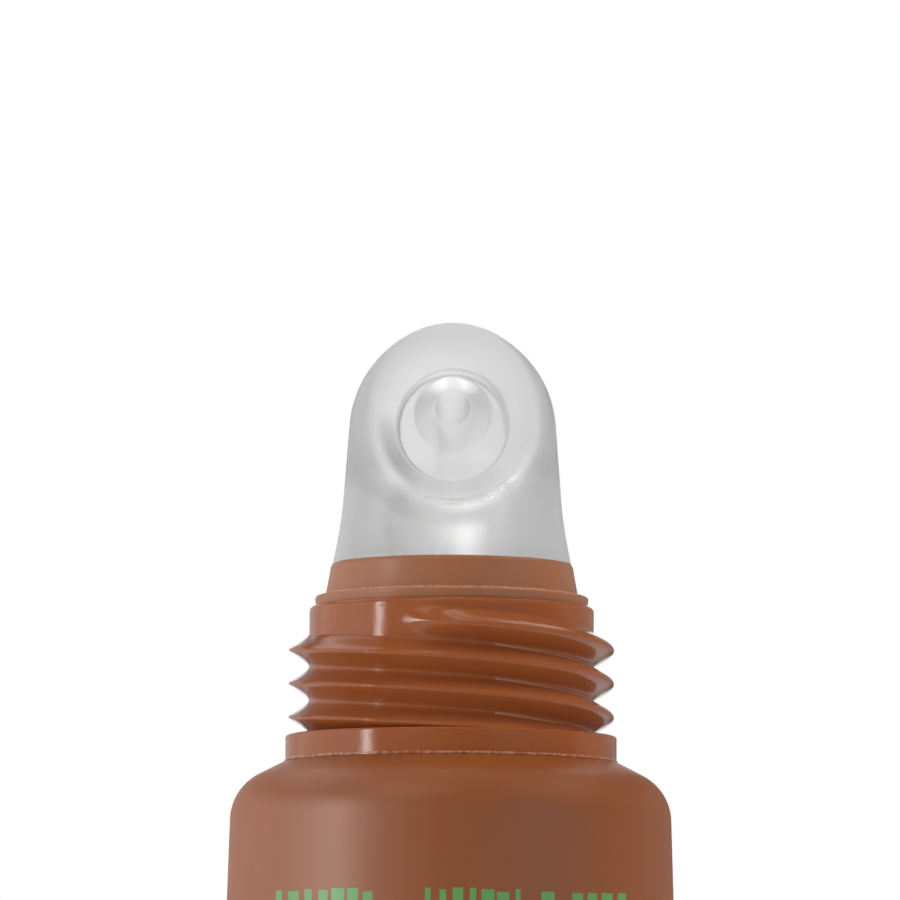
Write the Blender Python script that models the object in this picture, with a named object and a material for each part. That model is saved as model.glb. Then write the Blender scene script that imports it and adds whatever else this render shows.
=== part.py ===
"""Lip balm tube: a squeeze sleeve with a crimped tail, a threaded neck and a slanted soft applicator.

Metres, +Z up. The tube stands on its crimp with the applicator up, the origin in the middle of the
crimped end. The slanted face looks towards -Y and the crimp runs along X.
"""
import math

import bmesh
import bpy
from mathutils import Vector

MM = 0.001

# How finely round shapes are divided. Columns start half a step past +X, so that a flattened
# section has a corner on each side of the X axis.
SEGMENTS = 48
HALF_STEP = math.pi / SEGMENTS
ARC_STEPS = 5
WELD_DISTANCE = 0.0001 * MM
SMOOTH_ANGLE = math.radians(35.0)

# Clearances between pieces
SEAT_GAP = 0.05 * MM
WELD_GAP = 0.10 * MM
FILL_GAP = 0.15 * MM

# Sleeve
SLEEVE_LENGTH = 60.0 * MM
SLEEVE_DIAMETER = 19.0 * MM
SLEEVE_WALL = 0.45 * MM
SHOULDER_ANGLE = math.radians(27.0)
SHOULDER_ROUNDING = 2.2 * MM
LEAST_ROUNDING = 0.1 * MM
SWELL_WIDTH = 0.1 * MM
MOUTH_STEP = 0.03 * MM
CRIMP_HEIGHT = 5.0 * MM
BELLY_POWER = 1.5
FLATTEN_POWER = 1.7
LOFT_STEPS = 10
LOFT_POWER = 1.6
SQUARE_CORNER_SHARE = 0.3

# Neck
SHOULDER_WALL = 0.9 * MM
SKIRT_LENGTH = 3.0 * MM
NECK_BORE_DIAMETER = 9.5 * MM
NECK_DIAMETER = 12.16 * MM
NECK_HEIGHT = 5.51 * MM
RIM_ROUNDING = 0.20 * MM
COLLAR_STEP = 0.12 * MM
COLLAR_HEIGHT = 1.06 * MM
COLLAR_ROUNDING = 0.08 * MM

# Thread: two starts that run down to the right
THREAD_STARTS = 2
CREST_SPACING = 1.435 * MM
THREAD_DEPTH = 0.87 * MM
THREAD_START_DROP = 0.96 * MM
THREAD_START_AZIMUTH = math.radians(-110.0)
THREAD_FADE_ANGLE = math.radians(32.0)
# Distance from a crest as a share of the crest spacing, and height there as a share of the depth
THREAD_PROFILE_SHARES = ((0.0, 1.0), (0.07, 0.91), (0.40, 0.07), (0.5, 0.0))

# Applicator base
BAND_STEP = 0.02 * MM
BAND_FLARE = 0.28 * MM
BAND_HEIGHT = 1.38 * MM
BEAD_OVERHANG = 0.43 * MM
BEAD_HEIGHT = 0.40 * MM
BEAD_ROUNDING = 0.14 * MM
SOCKET_WALL = 0.85 * MM
LEDGE_THICKNESS = 1.0 * MM
PLUG_LENGTH = 4.6 * MM
PLUG_WALL = 0.9 * MM
PLUG_LEAD_IN = 0.35 * MM

# Applicator, heights above its foot
TIP_FOOT_DIAMETER = 10.20 * MM
TIP_FLARE_WIDTH = 0.23 * MM
TIP_FLARE_HEIGHT = 2.87 * MM
TIP_DRAFT = math.radians(4.3)
FRONT_WALL_HEIGHT = 1.64 * MM
SLANT_ANGLE = math.radians(48.0)
EDGE_SETBACK_FRONT = 0.44 * MM
EDGE_SETBACK_SIDE = 0.85 * MM
EDGE_SETBACK_BACK = 0.58 * MM
WALL_ROW_SHARES = (0.0, 0.12, 0.3, 0.6, 1.0)
STEM_LENGTH = 3.0 * MM
FEED_BORE_DIAMETER = 5.0 * MM
FEED_END_DIAMETER = 4.6 * MM
FEED_END_HEIGHT = 2.87 * MM
FEED_END_ROUNDING = 0.3 * MM

# Slanted face, seen from straight above: circles with their centres on the Y axis, and how far
# each one is sunk below the plane of the face
RECESS_DIAMETER = 4.68 * MM
RECESS_CENTRE = -0.91 * MM
RECESS_EDGE_WIDTH = 0.07 * MM
RECESS_DEPTH_BACK = 0.22 * MM
RECESS_DEPTH_FRONT = 0.12 * MM
CUP_DIAMETER = 3.24 * MM
CUP_BACK_MARGIN = 0.06 * MM
CUP_EDGE_DEPTH = 0.30 * MM
CUP_ROW_SHARES = (0.15, 0.45)
ORIFICE_DIAMETER = 1.49 * MM
ORIFICE_BACK_MARGIN = 0.03 * MM
ORIFICE_DEPTH = 0.79 * MM

# Derived places
BODY_RADIUS = SLEEVE_DIAMETER / 2
SHOULDER_RADIUS = BODY_RADIUS - SWELL_WIDTH
NECK_RADIUS = NECK_DIAMETER / 2
BORE_RADIUS = NECK_BORE_DIAMETER / 2
COLLAR_RADIUS = NECK_RADIUS + THREAD_DEPTH + COLLAR_STEP
MOUTH_RADIUS = COLLAR_RADIUS + MOUTH_STEP
PLUG_RADIUS = BORE_RADIUS - WELD_GAP
STEM_RADIUS = PLUG_RADIUS - SOCKET_WALL - WELD_GAP
TIP_FOOT_RADIUS = TIP_FOOT_DIAMETER / 2
FEED_BORE_RADIUS = FEED_BORE_DIAMETER / 2
FEED_END_RADIUS = FEED_END_DIAMETER / 2
RECESS_RADIUS = RECESS_DIAMETER / 2
CUP_RADIUS = CUP_DIAMETER / 2
CUP_CENTRE = RECESS_CENTRE + RECESS_RADIUS - CUP_RADIUS - CUP_BACK_MARGIN
ORIFICE_RADIUS = ORIFICE_DIAMETER / 2
ORIFICE_CENTRE = CUP_CENTRE + CUP_RADIUS - ORIFICE_RADIUS - ORIFICE_BACK_MARGIN
COLLAR_BOTTOM = SEAT_GAP
COLLAR_TOP = COLLAR_BOTTOM + COLLAR_HEIGHT
RIM_TOP = COLLAR_TOP + NECK_HEIGHT
BASE_PLACE = SLEEVE_LENGTH + RIM_TOP + SEAT_GAP
TIP_PLACE = BASE_PLACE + BEAD_HEIGHT + BAND_HEIGHT + SEAT_GAP
SWELL_LENGTH = SKIRT_LENGTH + 2 * FILL_GAP


def mix(low, high, share):
    return low + (high - low) * share


def column_angles(count):
    return [HALF_STEP * (2 * index + 1) for index in range(count)]


def circle(radius, height, centre_y=0.0):
    return [Vector((radius * math.cos(turn), centre_y + radius * math.sin(turn), height))
            for turn in column_angles(SEGMENTS)]


def turned(outline):
    """Rings of a turned outline, given as (radius, height) pairs."""
    return [circle(radius, height) for radius, height in outline]


def rounded_corner(corner, toward_start, toward_end, reach):
    """Arc that rounds a corner in a plane, from reach along one side to reach along the other."""
    half_angle = toward_start.angle(toward_end) / 2
    middle = (toward_start + toward_end).normalized()
    centre = corner + middle * (reach / math.cos(half_angle))
    first_spoke = corner + toward_start * reach - centre
    last_spoke = corner + toward_end * reach - centre
    sweep = first_spoke.angle_signed(last_spoke)
    start_turn = math.atan2(first_spoke.y, first_spoke.x)
    points = []
    for step in range(ARC_STEPS + 1):
        turn = start_turn - sweep * step / ARC_STEPS
        points.append(centre + Vector((math.cos(turn), math.sin(turn))) * first_spoke.length)
    return points


def add_skin(bm, rows, wrap=True):
    """Quads between neighbouring rows of points; wrap also joins the last column to the first."""
    grid = [[bm.verts.new(point) for point in row] for row in rows]
    columns = len(rows[0])
    for lower, upper in zip(grid, grid[1:]):
        for column in range(columns if wrap else columns - 1):
            after = (column + 1) % columns
            bm.faces.new((lower[column], lower[after], upper[after], upper[column]))


def add_cap(bm, ring):
    """Closes a ring with strips that run between its front and back halves."""
    corners = [bm.verts.new(point) for point in ring]
    for column in range(SEGMENTS // 2 - 1):
        opposite = SEGMENTS - 1 - column
        bm.faces.new((corners[column], corners[column + 1], corners[opposite - 1], corners[opposite]))


def add_object(name, bm, place, parent, colour, roughness):
    """Welds the surface into one closed body and makes its object and material."""
    bmesh.ops.remove_doubles(bm, verts=bm.verts[:], dist=WELD_DISTANCE)
    bmesh.ops.recalc_face_normals(bm, faces=bm.faces[:])
    mesh = bpy.data.meshes.new(name)
    bm.to_mesh(mesh)
    bm.free()
    mesh.shade_smooth()
    mesh.set_sharp_from_angle(angle=SMOOTH_ANGLE)
    material = bpy.data.materials.new(name + "_plastic")
    material.use_nodes = True
    shader = material.node_tree.nodes["Principled BSDF"]
    shader.inputs["Base Color"].default_value = (*colour, 1.0)
    shader.inputs["Roughness"].default_value = roughness
    shader.inputs["Metallic"].default_value = 0.0
    mesh.materials.append(material)
    piece = bpy.data.objects.new(name, mesh)
    bpy.context.collection.objects.link(piece)
    piece.parent = parent
    piece.location = (0.0, 0.0, place)
    return piece


def shoulder_outline(inset, inner_radius):
    """Shoulder from its inner end out to the round body, pushed inwards by inset, height 0 at the mouth."""
    ledge_width = SHOULDER_RADIUS - MOUTH_RADIUS
    rounding = max(min(SHOULDER_ROUNDING, ledge_width) - inset, LEAST_ROUNDING)
    cone_drop = (ledge_width - inset) * math.tan(SHOULDER_ANGLE) + inset / math.cos(SHOULDER_ANGLE)
    top_turn = math.pi / 2 - SHOULDER_ANGLE
    centre_radius = SHOULDER_RADIUS - inset - rounding
    centre_height = -cone_drop - rounding * math.tan(top_turn / 2)
    outline = []
    for step in range(ARC_STEPS + 1):
        turn = top_turn * (1 - step / ARC_STEPS)
        outline.append((centre_radius + rounding * math.cos(turn), centre_height + rounding * math.sin(turn)))
    cone_radius, cone_height = outline[0]
    inner_height = cone_height + (cone_radius - inner_radius) * math.tan(SHOULDER_ANGLE)
    return [(inner_radius, inner_height)] + outline


def swell_outline(inset, length):
    """The two ends of the straight stretch under the shoulder, which opens out to the full diameter."""
    top_radius, top_height = shoulder_outline(inset, MOUTH_RADIUS)[-1]
    share = length / SWELL_LENGTH
    bottom_radius = mix(top_radius, BODY_RADIUS - inset, share)
    return (top_radius, top_height), (bottom_radius, top_height - length)


def flattened_width(half_thickness):
    """Half width of the round sleeve once it is squeezed to a half thickness, its girth unchanged."""
    flat_share = (half_thickness / BODY_RADIUS) ** FLATTEN_POWER
    return BODY_RADIUS * (math.pi / 2 - (math.pi / 2 - 1) * flat_share)


def tube_section(share, inset):
    """Section of the sleeve at a share of the way from the crimp up to the round body."""
    round_height = SLEEVE_LENGTH + swell_outline(0.0, SWELL_LENGTH)[1][1]
    height = mix(CRIMP_HEIGHT, round_height, share)
    half_thickness = mix(SLEEVE_WALL, BODY_RADIUS, 1 - (1 - share) ** BELLY_POWER)
    squareness = max(0.0, 1 - share / SQUARE_CORNER_SHARE) ** 2
    return flat_ring(flattened_width(half_thickness) - inset, half_thickness - inset, height, squareness)


def flat_ring(half_width, half_thickness, height, squareness):
    """Oval ring that turns into a rectangle as squareness goes from 0 to 1."""
    ring = []
    widen = mix(1.0, 1 / math.cos(HALF_STEP), squareness)
    for turn in column_angles(SEGMENTS):
        bulge = mix(math.sin(turn), math.copysign(1.0, math.sin(turn)), squareness)
        ring.append(Vector((half_width * math.cos(turn) * widen, half_thickness * bulge, height)))
    return ring


def loft_shares():
    return [(step / LOFT_STEPS) ** LOFT_POWER for step in range(1, LOFT_STEPS + 1)]


def raised(outline, lift):
    return [(radius, height + lift) for radius, height in outline]


def make_sleeve(parent):
    """Flexible sleeve, open at the shoulder and pressed flat at the tail."""
    cavity = [tube_section(share, SLEEVE_WALL) for share in loft_shares()]
    inner_shoulder = raised(shoulder_outline(SLEEVE_WALL, MOUTH_RADIUS), SLEEVE_LENGTH)
    outer_shoulder = raised(shoulder_outline(0.0, MOUTH_RADIUS), SLEEVE_LENGTH)
    outside = [tube_section(share, 0.0) for share in reversed(loft_shares())]
    crimp_width = flattened_width(SLEEVE_WALL)
    crimp = [flat_ring(crimp_width, SLEEVE_WALL, height, 1.0) for height in (CRIMP_HEIGHT, 0.0)]
    rows = cavity + turned(reversed(inner_shoulder)) + turned(outer_shoulder) + outside + crimp
    bm = bmesh.new()
    add_skin(bm, rows)
    add_cap(bm, rows[0])
    add_cap(bm, rows[-1])
    return add_object("tube_sleeve", bm, 0.0, parent, (0.27, 0.085, 0.035), 0.38)


def thread_height(turn, drop):
    """Height of the thread over the neck, at an azimuth and at a drop below the top of the thread."""
    lead_share = (turn - THREAD_START_AZIMUTH) / (2 * math.pi)
    crests_below = drop / CREST_SPACING - THREAD_STARTS * lead_share
    crest = round(crests_below)
    travel = (lead_share + crest / THREAD_STARTS) * 2 * math.pi
    growth = min(max(travel / THREAD_FADE_ANGLE, 0.0), 1.0)
    distance = abs(crests_below - crest)
    height_share = 0.0
    for (near, near_height), (far, far_height) in zip(THREAD_PROFILE_SHARES, THREAD_PROFILE_SHARES[1:]):
        if near <= distance <= far:
            height_share = mix(near_height, far_height, (distance - near) / (far - near))
    return THREAD_DEPTH * height_share * growth * growth * (3 - 2 * growth)


def thread_rows():
    """Rows that follow the crests and roots down the neck, cut off level at the rim and at the collar."""
    start_height = RIM_TOP - THREAD_START_DROP
    top = RIM_TOP - RIM_ROUNDING
    near_shares = [near for near, _ in THREAD_PROFILE_SHARES]
    phases = near_shares + [1 - near for near in near_shares[-2:0:-1]]
    turns = column_angles(SEGMENTS + 1)
    most_ahead = THREAD_STARTS * (turns[-1] - THREAD_START_AZIMUTH) / (2 * math.pi)
    first_crest = math.floor((start_height - top) / CREST_SPACING - most_ahead)
    last_crest = math.ceil((start_height - COLLAR_TOP) / CREST_SPACING)
    rows = []
    for crest in range(first_crest, last_crest + 1):
        for phase in phases:
            row = []
            for turn in turns:
                ahead = THREAD_STARTS * (turn - THREAD_START_AZIMUTH) / (2 * math.pi)
                level = start_height - (crest + phase + ahead) * CREST_SPACING
                height = min(max(level, COLLAR_TOP), top)
                radius = NECK_RADIUS + thread_height(turn, start_height - height)
                row.append(Vector((radius * math.cos(turn), radius * math.sin(turn), height)))
            rows.append(row)
    return rows


def make_neck(parent):
    """Rigid head: threaded neck and collar above the sleeve's mouth, shoulder and skirt inside the sleeve."""
    outer_inset = SLEEVE_WALL + WELD_GAP
    inner_inset = outer_inset + SHOULDER_WALL
    root_radius = MOUTH_RADIUS - WELD_GAP
    outer_shoulder = shoulder_outline(outer_inset, root_radius)
    inner_shoulder = shoulder_outline(inner_inset, BORE_RADIUS)
    outer_skirt = swell_outline(outer_inset, SKIRT_LENGTH)[1]
    inner_skirt = (inner_shoulder[-1][0], outer_skirt[1])
    rim = [
        (NECK_RADIUS, RIM_TOP - RIM_ROUNDING),
        (NECK_RADIUS - RIM_ROUNDING, RIM_TOP),
        (BORE_RADIUS, RIM_TOP),
    ]
    collar = [
        (root_radius, COLLAR_BOTTOM),
        (COLLAR_RADIUS, COLLAR_BOTTOM),
        (COLLAR_RADIUS, COLLAR_TOP - COLLAR_ROUNDING),
        (COLLAR_RADIUS - COLLAR_ROUNDING, COLLAR_TOP),
    ]
    outline = rim + inner_shoulder + [inner_skirt, outer_skirt] + outer_shoulder[::-1] + collar
    threads = thread_rows()
    bm = bmesh.new()
    add_skin(bm, turned(outline) + [threads[-1][:SEGMENTS]])
    add_skin(bm, threads, wrap=False)
    return add_object("threaded_neck", bm, SLEEVE_LENGTH, parent, (0.26, 0.085, 0.036), 0.22)


def make_tip_base(parent):
    """Band and bead under the applicator, with a plug in the neck's bore. Origin under the bead."""
    band_top_radius = TIP_FOOT_RADIUS + BAND_STEP
    band_foot_radius = band_top_radius + BAND_FLARE
    bead_radius = band_foot_radius + BEAD_OVERHANG
    socket_radius = STEM_RADIUS + WELD_GAP
    band_top = BEAD_HEIGHT + BAND_HEIGHT
    socket_floor = band_top - STEM_LENGTH
    ledge_bottom = socket_floor - LEDGE_THICKNESS
    outline = [
        (band_top_radius, band_top),
        (band_foot_radius, BEAD_HEIGHT),
        (bead_radius - BEAD_ROUNDING, BEAD_HEIGHT),
        (bead_radius, BEAD_HEIGHT - BEAD_ROUNDING),
        (bead_radius, BEAD_ROUNDING),
        (bead_radius - BEAD_ROUNDING, 0.0),
        (PLUG_RADIUS, 0.0),
        (PLUG_RADIUS, PLUG_LEAD_IN - PLUG_LENGTH),
        (PLUG_RADIUS - PLUG_LEAD_IN, -PLUG_LENGTH),
        (PLUG_RADIUS - PLUG_WALL, -PLUG_LENGTH),
        (PLUG_RADIUS - PLUG_WALL, ledge_bottom),
        (FEED_BORE_RADIUS, ledge_bottom),
        (FEED_BORE_RADIUS, socket_floor),
        (socket_radius, socket_floor),
        (socket_radius, band_top),
    ]
    bm = bmesh.new()
    add_skin(bm, turned(outline + outline[:1]))
    return add_object("tip_base", bm, BASE_PLACE, parent, (0.28, 0.10, 0.047), 0.3)


def cone_radius(height):
    """Radius of the applicator's drafted wall, without its flared foot."""
    return TIP_FOOT_RADIUS - TIP_FLARE_WIDTH - height * math.tan(TIP_DRAFT)


def with_flare(radius, height):
    """Opens the wall out towards its foot."""
    share = max(0.0, 1 - height / TIP_FLARE_HEIGHT)
    return radius + TIP_FLARE_WIDTH * share * share


def slant_height(y):
    """Height of the plane of the slanted face, which rises towards the back."""
    front_radius = cone_radius(FRONT_WALL_HEIGHT)
    return FRONT_WALL_HEIGHT + (front_radius + y) * math.tan(SLANT_ANGLE)


def tip_edge(turn):
    """Rounded edge at one azimuth, from the slanted face out and down to the wall, as (radius, height)."""
    rise = math.sin(turn) * math.tan(SLANT_ANGLE)
    draft = math.tan(TIP_DRAFT)
    corner_radius = cone_radius(slant_height(0.0)) / (1 + draft * rise)
    corner = Vector((corner_radius, slant_height(corner_radius * math.sin(turn))))
    toward_face = Vector((-1.0, -rise)).normalized()
    toward_foot = Vector((draft, -1.0)).normalized()
    end_setback = EDGE_SETBACK_BACK if math.sin(turn) > 0 else EDGE_SETBACK_FRONT
    setback = mix(EDGE_SETBACK_SIDE, end_setback, math.sin(turn) ** 2)
    reach = setback * math.hypot(1.0, rise)
    return rounded_corner(corner, toward_face, toward_foot, reach)


def tip_outside():
    """Rings from the foot up the wall and over the rounded edge onto the slanted face."""
    edges = [tip_edge(turn)[::-1] for turn in column_angles(SEGMENTS)]
    rings = []
    for share in WALL_ROW_SHARES[:-1]:
        rings.append([(cone_radius(edge[0].y * share), edge[0].y * share) for edge in edges])
    for step in range(ARC_STEPS + 1):
        rings.append([(edge[step].x, edge[step].y) for edge in edges])
    placed = []
    for ring in rings:
        points = []
        for turn, (radius, height) in zip(column_angles(SEGMENTS), ring):
            flared = with_flare(radius, height)
            points.append(Vector((flared * math.cos(turn), flared * math.sin(turn), height)))
        placed.append(points)
    return placed


def face_ring(radius, centre_y, depth_back, depth_front):
    """Circle seen from above, sunk below the slanted plane by a depth that changes from back to front."""
    ring = []
    for turn in column_angles(SEGMENTS):
        y = centre_y + radius * math.sin(turn)
        depth = mix(depth_front, depth_back, (1 + math.sin(turn)) / 2)
        ring.append(Vector((radius * math.cos(turn), y, slant_height(y) - depth)))
    return ring


def tip_face():
    """Rings from the edge of the recess, down its step, over the cup and into the orifice."""
    rings = [
        face_ring(RECESS_RADIUS + RECESS_EDGE_WIDTH, RECESS_CENTRE, 0.0, 0.0),
        face_ring(RECESS_RADIUS, RECESS_CENTRE, RECESS_DEPTH_BACK, RECESS_DEPTH_FRONT),
        face_ring(CUP_RADIUS, CUP_CENTRE, CUP_EDGE_DEPTH, CUP_EDGE_DEPTH),
    ]
    for share in CUP_ROW_SHARES:
        radius = mix(CUP_RADIUS, ORIFICE_RADIUS, share)
        centre_y = mix(CUP_CENTRE, ORIFICE_CENTRE, share)
        depth = mix(CUP_EDGE_DEPTH, ORIFICE_DEPTH, math.sin(share * math.pi / 2))
        rings.append(face_ring(radius, centre_y, depth, depth))
    rings.append(face_ring(ORIFICE_RADIUS, ORIFICE_CENTRE, ORIFICE_DEPTH, ORIFICE_DEPTH))
    return rings


def make_applicator(parent):
    """Slanted applicator with its orifice, feed bore and stem. Origin at its foot, on the band."""
    channel_end = circle(ORIFICE_RADIUS, FEED_END_HEIGHT, ORIFICE_CENTRE)
    stem = [
        (FEED_END_RADIUS - FEED_END_ROUNDING, FEED_END_HEIGHT),
        (FEED_END_RADIUS, FEED_END_HEIGHT - FEED_END_ROUNDING),
        (FEED_BORE_RADIUS, 0.0),
        (FEED_BORE_RADIUS, -STEM_LENGTH),
        (STEM_RADIUS, -STEM_LENGTH),
        (STEM_RADIUS, 0.0),
    ]
    outside = tip_outside()
    rows = outside + tip_face() + [channel_end] + turned(stem) + outside[:1]
    bm = bmesh.new()
    add_skin(bm, rows)
    return add_object("applicator_tip", bm, TIP_PLACE, parent, (0.78, 0.79, 0.79), 0.4)


def make_fill(parent):
    """Balm in the sleeve, under the shoulder and up the neck to the plug. Origin at the crimped end."""
    wall_inset = SLEEVE_WALL + FILL_GAP
    shoulder_inset = SLEEVE_WALL + WELD_GAP + SHOULDER_WALL + FILL_GAP
    nub_radius = BORE_RADIUS - FILL_GAP
    nub_top = BASE_PLACE - PLUG_LENGTH - FILL_GAP
    skirt_bottom = SLEEVE_LENGTH + swell_outline(0.0, SKIRT_LENGTH)[1][1]
    shoulder = raised(shoulder_outline(shoulder_inset, nub_radius), SLEEVE_LENGTH)
    sections = [tube_section(share, wall_inset) for share in loft_shares()]
    neck_down = [(nub_radius, nub_top)] + shoulder + [(shoulder[-1][0], skirt_bottom - FILL_GAP)]
    rows = turned(neck_down) + sections[::-1]
    bm = bmesh.new()
    add_skin(bm, rows)
    add_cap(bm, rows[0])
    add_cap(bm, rows[-1])
    return add_object("balm_fill", bm, 0.0, parent, (0.86, 0.80, 0.66), 0.5)


def main():
    for item in list(bpy.data.objects):
        bpy.data.objects.remove(item, do_unlink=True)
    axis = bpy.data.objects.new("tube_axis", None)
    bpy.context.collection.objects.link(axis)
    make_sleeve(axis)
    make_neck(axis)
    make_tip_base(axis)
    make_applicator(axis)
    make_fill(axis)


main()
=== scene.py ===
"""Lip balm tube: fine surfaces, finishes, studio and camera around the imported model.

Metres, +Z up, the tube on its crimp with the slanted face towards -Y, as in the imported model.
Only the finishes measure places on the object in millimetres.
"""
import math

import bmesh
import bpy
from mathutils import Matrix, Vector


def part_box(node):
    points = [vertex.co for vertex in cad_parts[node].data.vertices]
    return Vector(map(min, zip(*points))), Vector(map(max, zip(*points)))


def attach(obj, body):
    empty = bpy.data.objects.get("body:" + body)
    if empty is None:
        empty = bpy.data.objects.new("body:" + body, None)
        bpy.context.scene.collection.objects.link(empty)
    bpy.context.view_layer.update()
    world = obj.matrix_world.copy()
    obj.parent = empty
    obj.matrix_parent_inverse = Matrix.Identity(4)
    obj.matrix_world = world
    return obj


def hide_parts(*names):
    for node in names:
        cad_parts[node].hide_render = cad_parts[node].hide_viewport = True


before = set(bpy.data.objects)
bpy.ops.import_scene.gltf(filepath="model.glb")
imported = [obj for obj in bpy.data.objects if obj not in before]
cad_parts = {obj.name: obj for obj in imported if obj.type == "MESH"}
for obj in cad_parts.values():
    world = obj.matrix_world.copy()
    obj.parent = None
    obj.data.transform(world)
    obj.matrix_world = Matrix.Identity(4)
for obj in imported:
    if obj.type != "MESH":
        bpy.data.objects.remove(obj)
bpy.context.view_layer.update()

MM = 0.001
COLUMNS = 240
FULL_TURN = 2 * math.pi

# Heights of the seats on the tube's axis
SLEEVE_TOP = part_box("tube_sleeve")[1].z
RIM_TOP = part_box("threaded_neck")[1].z
TIP_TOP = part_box("applicator_tip")[1].z


def mix(low, high, share):
    return low + (high - low) * share


def smooth(low, high, value):
    """0 below low, 1 above high and an S curve between them."""
    share = min(max((value - low) / (high - low), 0.0), 1.0)
    return share * share * (3 - 2 * share)


class Wire:
    """A shader socket that takes arithmetic: each operator adds the Math node that does it."""

    def __init__(self, shader, socket):
        self.shader = shader
        self.socket = socket

    def math(self, operation, *values):
        return self.shader.node("Math", {"operation": operation}, dict(enumerate(values)))

    def __add__(self, other):
        return self.math("ADD", self, other)

    __radd__ = __add__

    def __sub__(self, other):
        return self.math("SUBTRACT", self, other)

    def __rsub__(self, other):
        return self.math("SUBTRACT", other, self)

    def __mul__(self, other):
        return self.math("MULTIPLY", self, other)

    __rmul__ = __mul__

    def __truediv__(self, other):
        return self.math("DIVIDE", self, other)

    def __rtruediv__(self, other):
        return self.math("DIVIDE", other, self)

    def __pow__(self, other):
        return self.math("POWER", self, other)

    def __rpow__(self, other):
        return self.math("POWER", other, self)

    def __abs__(self):
        return self.math("ABSOLUTE", self)

    def __gt__(self, other):
        return self.math("GREATER_THAN", self, other)

    def __lt__(self, other):
        return self.math("LESS_THAN", self, other)

    def __mod__(self, other):
        return self.math("FLOORED_MODULO", self, other)

    def step_up(self, low, high):
        """0 below low, 1 above high, with a smooth rise between."""
        settings = {"interpolation_type": "SMOOTHSTEP"}
        sockets = {"Value": self, "From Min": low, "From Max": high}
        return self.shader.node("MapRange", settings, sockets)


class Shader:
    """A node tree, and the one way in which nodes are added to it."""

    def __init__(self, tree):
        self.tree = tree

    def node(self, kind, settings=None, sockets=None, output=0):
        """Adds a node, with its settings first and then the values or links of its sockets."""
        made = self.tree.nodes.new("ShaderNode" + kind)
        for name, value in (settings or {}).items():
            setattr(made, name, value)
        for name, value in (sockets or {}).items():
            self.put(made.inputs[name], value)
        return Wire(self, made.outputs[output])

    def put(self, socket, value):
        """Sets a socket to a value, or links a wire to it."""
        if isinstance(value, Wire):
            self.tree.links.new(value.socket, socket)
        elif isinstance(value, tuple) and socket.type == "RGBA":
            socket.default_value = (*value, 1.0)
        else:
            socket.default_value = value

    def blend(self, share, low, high):
        """Colour that goes from low to high."""
        return self.node("Mix", {"data_type": "RGBA"}, {0: share, 6: low, 7: high}, 2)

    def place(self):
        return self.node("TexCoord", output="Object")

    def axes(self):
        """The place on the object along X, Y and Z, in millimetres."""
        parts = [self.node("SeparateXYZ", None, {0: self.place()}, axis) for axis in range(3)]
        return [part / MM for part in parts]

    def grain(self, size, detail=2.0, stretch=(1.0, 1.0, 1.0), roughness=0.5):
        """Noise from 0 to 1 whose patches are about size across, drawn out along the axes by stretch."""
        scale = tuple(1 / (size * factor) for factor in stretch)
        place = self.node("Mapping", None, {"Vector": self.place(), "Scale": scale})
        sockets = {"Vector": place, "Scale": 1.0, "Detail": detail, "Roughness": roughness}
        return self.node("TexNoise", None, sockets)

    def bump(self, height, depth, below=None):
        """Normal of a relief: height from 0 to 1 over a real depth, on top of another relief."""
        sockets = {"Height": height, "Distance": depth, "Strength": 1.0}
        if below is not None:
            sockets["Normal"] = below
        return self.node("Bump", None, sockets)


class Finish(Shader):
    """A material: a Principled surface whose sockets are set by name."""

    def __init__(self, name):
        self.material = bpy.data.materials.new(name)
        self.material.use_nodes = True
        super().__init__(self.material.node_tree)
        self.surface = self.tree.nodes["Principled BSDF"]

    def surface_of(self, **sockets):
        for name, value in sockets.items():
            self.put(self.surface.inputs[name.replace("_", " ")], value)
        return self.material


# Outlines and skins

def turn_angles():
    return [FULL_TURN * (column + 0.5) / COLUMNS for column in range(COLUMNS)]


def circle(radius, height, centre_y=0.0):
    return [Vector((radius * math.cos(turn), centre_y + radius * math.sin(turn), height))
            for turn in turn_angles()]


def turned(outline):
    return [circle(radius, height) for radius, height in outline]


def rounded(outline, radii, steps=6):
    """Outline with its corners rounded: radii gives one radius for each inner corner."""
    points = [Vector(point) for point in outline]
    made = [points[0]]
    for before, corner, after, radius in zip(points, points[1:], points[2:], radii):
        if radius == 0:
            made.append(corner)
            continue
        into = (before - corner).normalized()
        out = (after - corner).normalized()
        half = into.angle(out) / 2
        middle = corner + (into + out).normalized() * (radius / math.sin(half))
        first = corner + into * (radius / math.tan(half)) - middle
        last = corner + out * (radius / math.tan(half)) - middle
        sweep = math.atan2(first.x * last.y - first.y * last.x, first.dot(last))
        for step in range(steps + 1):
            spoke = Matrix.Rotation(sweep * step / steps, 2) @ first
            made.append(middle + spoke)
    made.append(points[-1])
    return [tuple(point) for point in made]


def add_skin(bm, rows, wrap=True):
    """Quads between neighbouring rows of points; wrap also joins the last column to the first."""
    grid = [[bm.verts.new(point) for point in row] for row in rows]
    columns = len(rows[0])
    for lower, upper in zip(grid, grid[1:]):
        for column in range(columns if wrap else columns - 1):
            after = (column + 1) % columns
            bm.faces.new((lower[column], lower[after], upper[after], upper[column]))


def add_cap(bm, row):
    """Closes a ring with strips that run between its front and back halves."""
    corners = [bm.verts.new(point) for point in row]
    count = len(row)
    for column in range(count // 2 - 1):
        opposite = count - 1 - column
        bm.faces.new((corners[column], corners[column + 1], corners[opposite - 1], corners[opposite]))


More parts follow.
